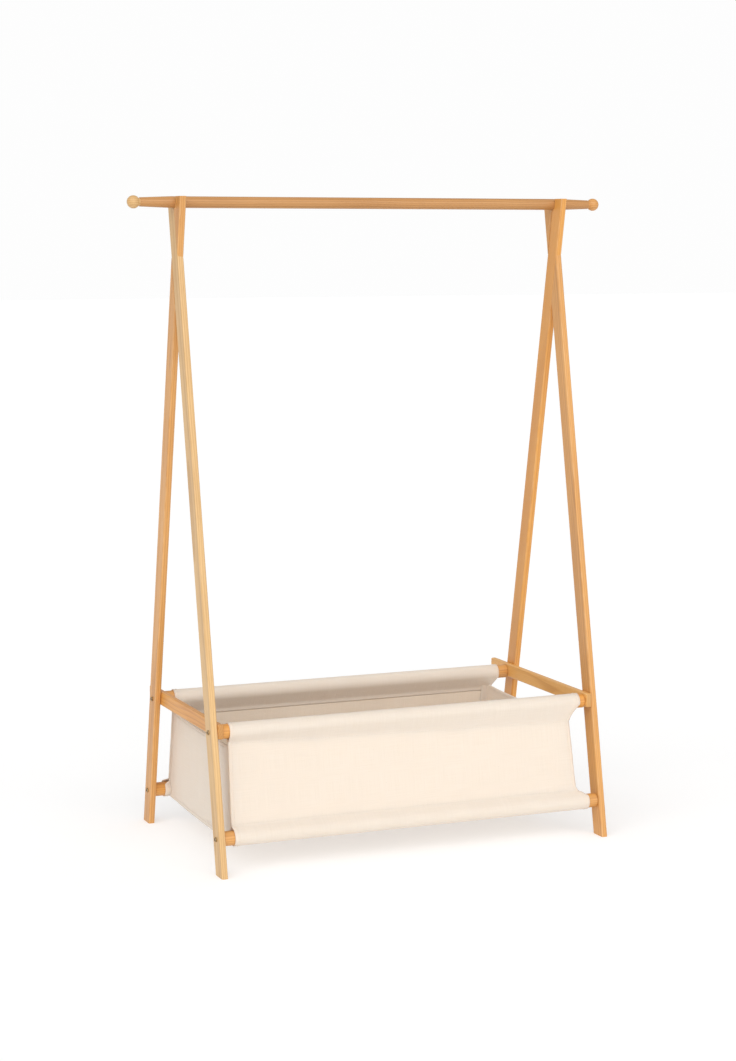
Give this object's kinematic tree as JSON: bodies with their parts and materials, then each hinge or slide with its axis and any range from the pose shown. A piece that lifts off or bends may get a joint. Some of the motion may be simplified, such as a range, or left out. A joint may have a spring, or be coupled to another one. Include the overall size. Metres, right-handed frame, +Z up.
{
  "type": "clothes rack",
  "caption": "Free-standing wooden clothes rack with crossed legs, a lift-out hanging rail and an open canvas storage box on dowels.",
  "frame": {"origin": "on the floor, midway between the four feet and under the middle of the hanging rail", "axes": "+X along the hanging rail to the right, +Y from the front of the rack to its rear, +Z up"},
  "size_m": [0.9956, 0.4908, 1.2623],
  "materials": {
    "wood": "satin clear lacquer on light wood",
    "turned_wood": "satin clear lacquer on light turned wood",
    "bolt": "aged brass plating",
    "insert": "zinc plated",
    "canvas": "natural cotton canvas, matte"
  },
  "bodies": {
    "frame": {"leg_front_left": "wood", "leg_front_right": "wood", "leg_rear_left": "wood", "leg_rear_right": "wood", "crosspiece_left": "wood", "crosspiece_right": "wood", "dowel_upper_front": "wood", "dowel_upper_rear": "wood", "dowel_lower_front": "wood", "dowel_lower_rear": "wood", "upper_dowel_bolts": "bolt", "lower_dowel_bolts": "bolt", "dowel_inserts": "insert", "box_front": "canvas", "box_rear": "canvas", "box_floor": "canvas", "box_end_left": "canvas", "box_end_right": "canvas"},
    "rail": {"hanging_rail": "turned_wood", "rail_ball_left": "turned_wood", "rail_ball_right": "turned_wood"}
  },
  "joints": [
    {"name": "rail_lift", "type": "slide", "parent": "frame", "child": "rail", "axis": [0, 0, 1], "range_m": [0, 0.06]}
  ]
}
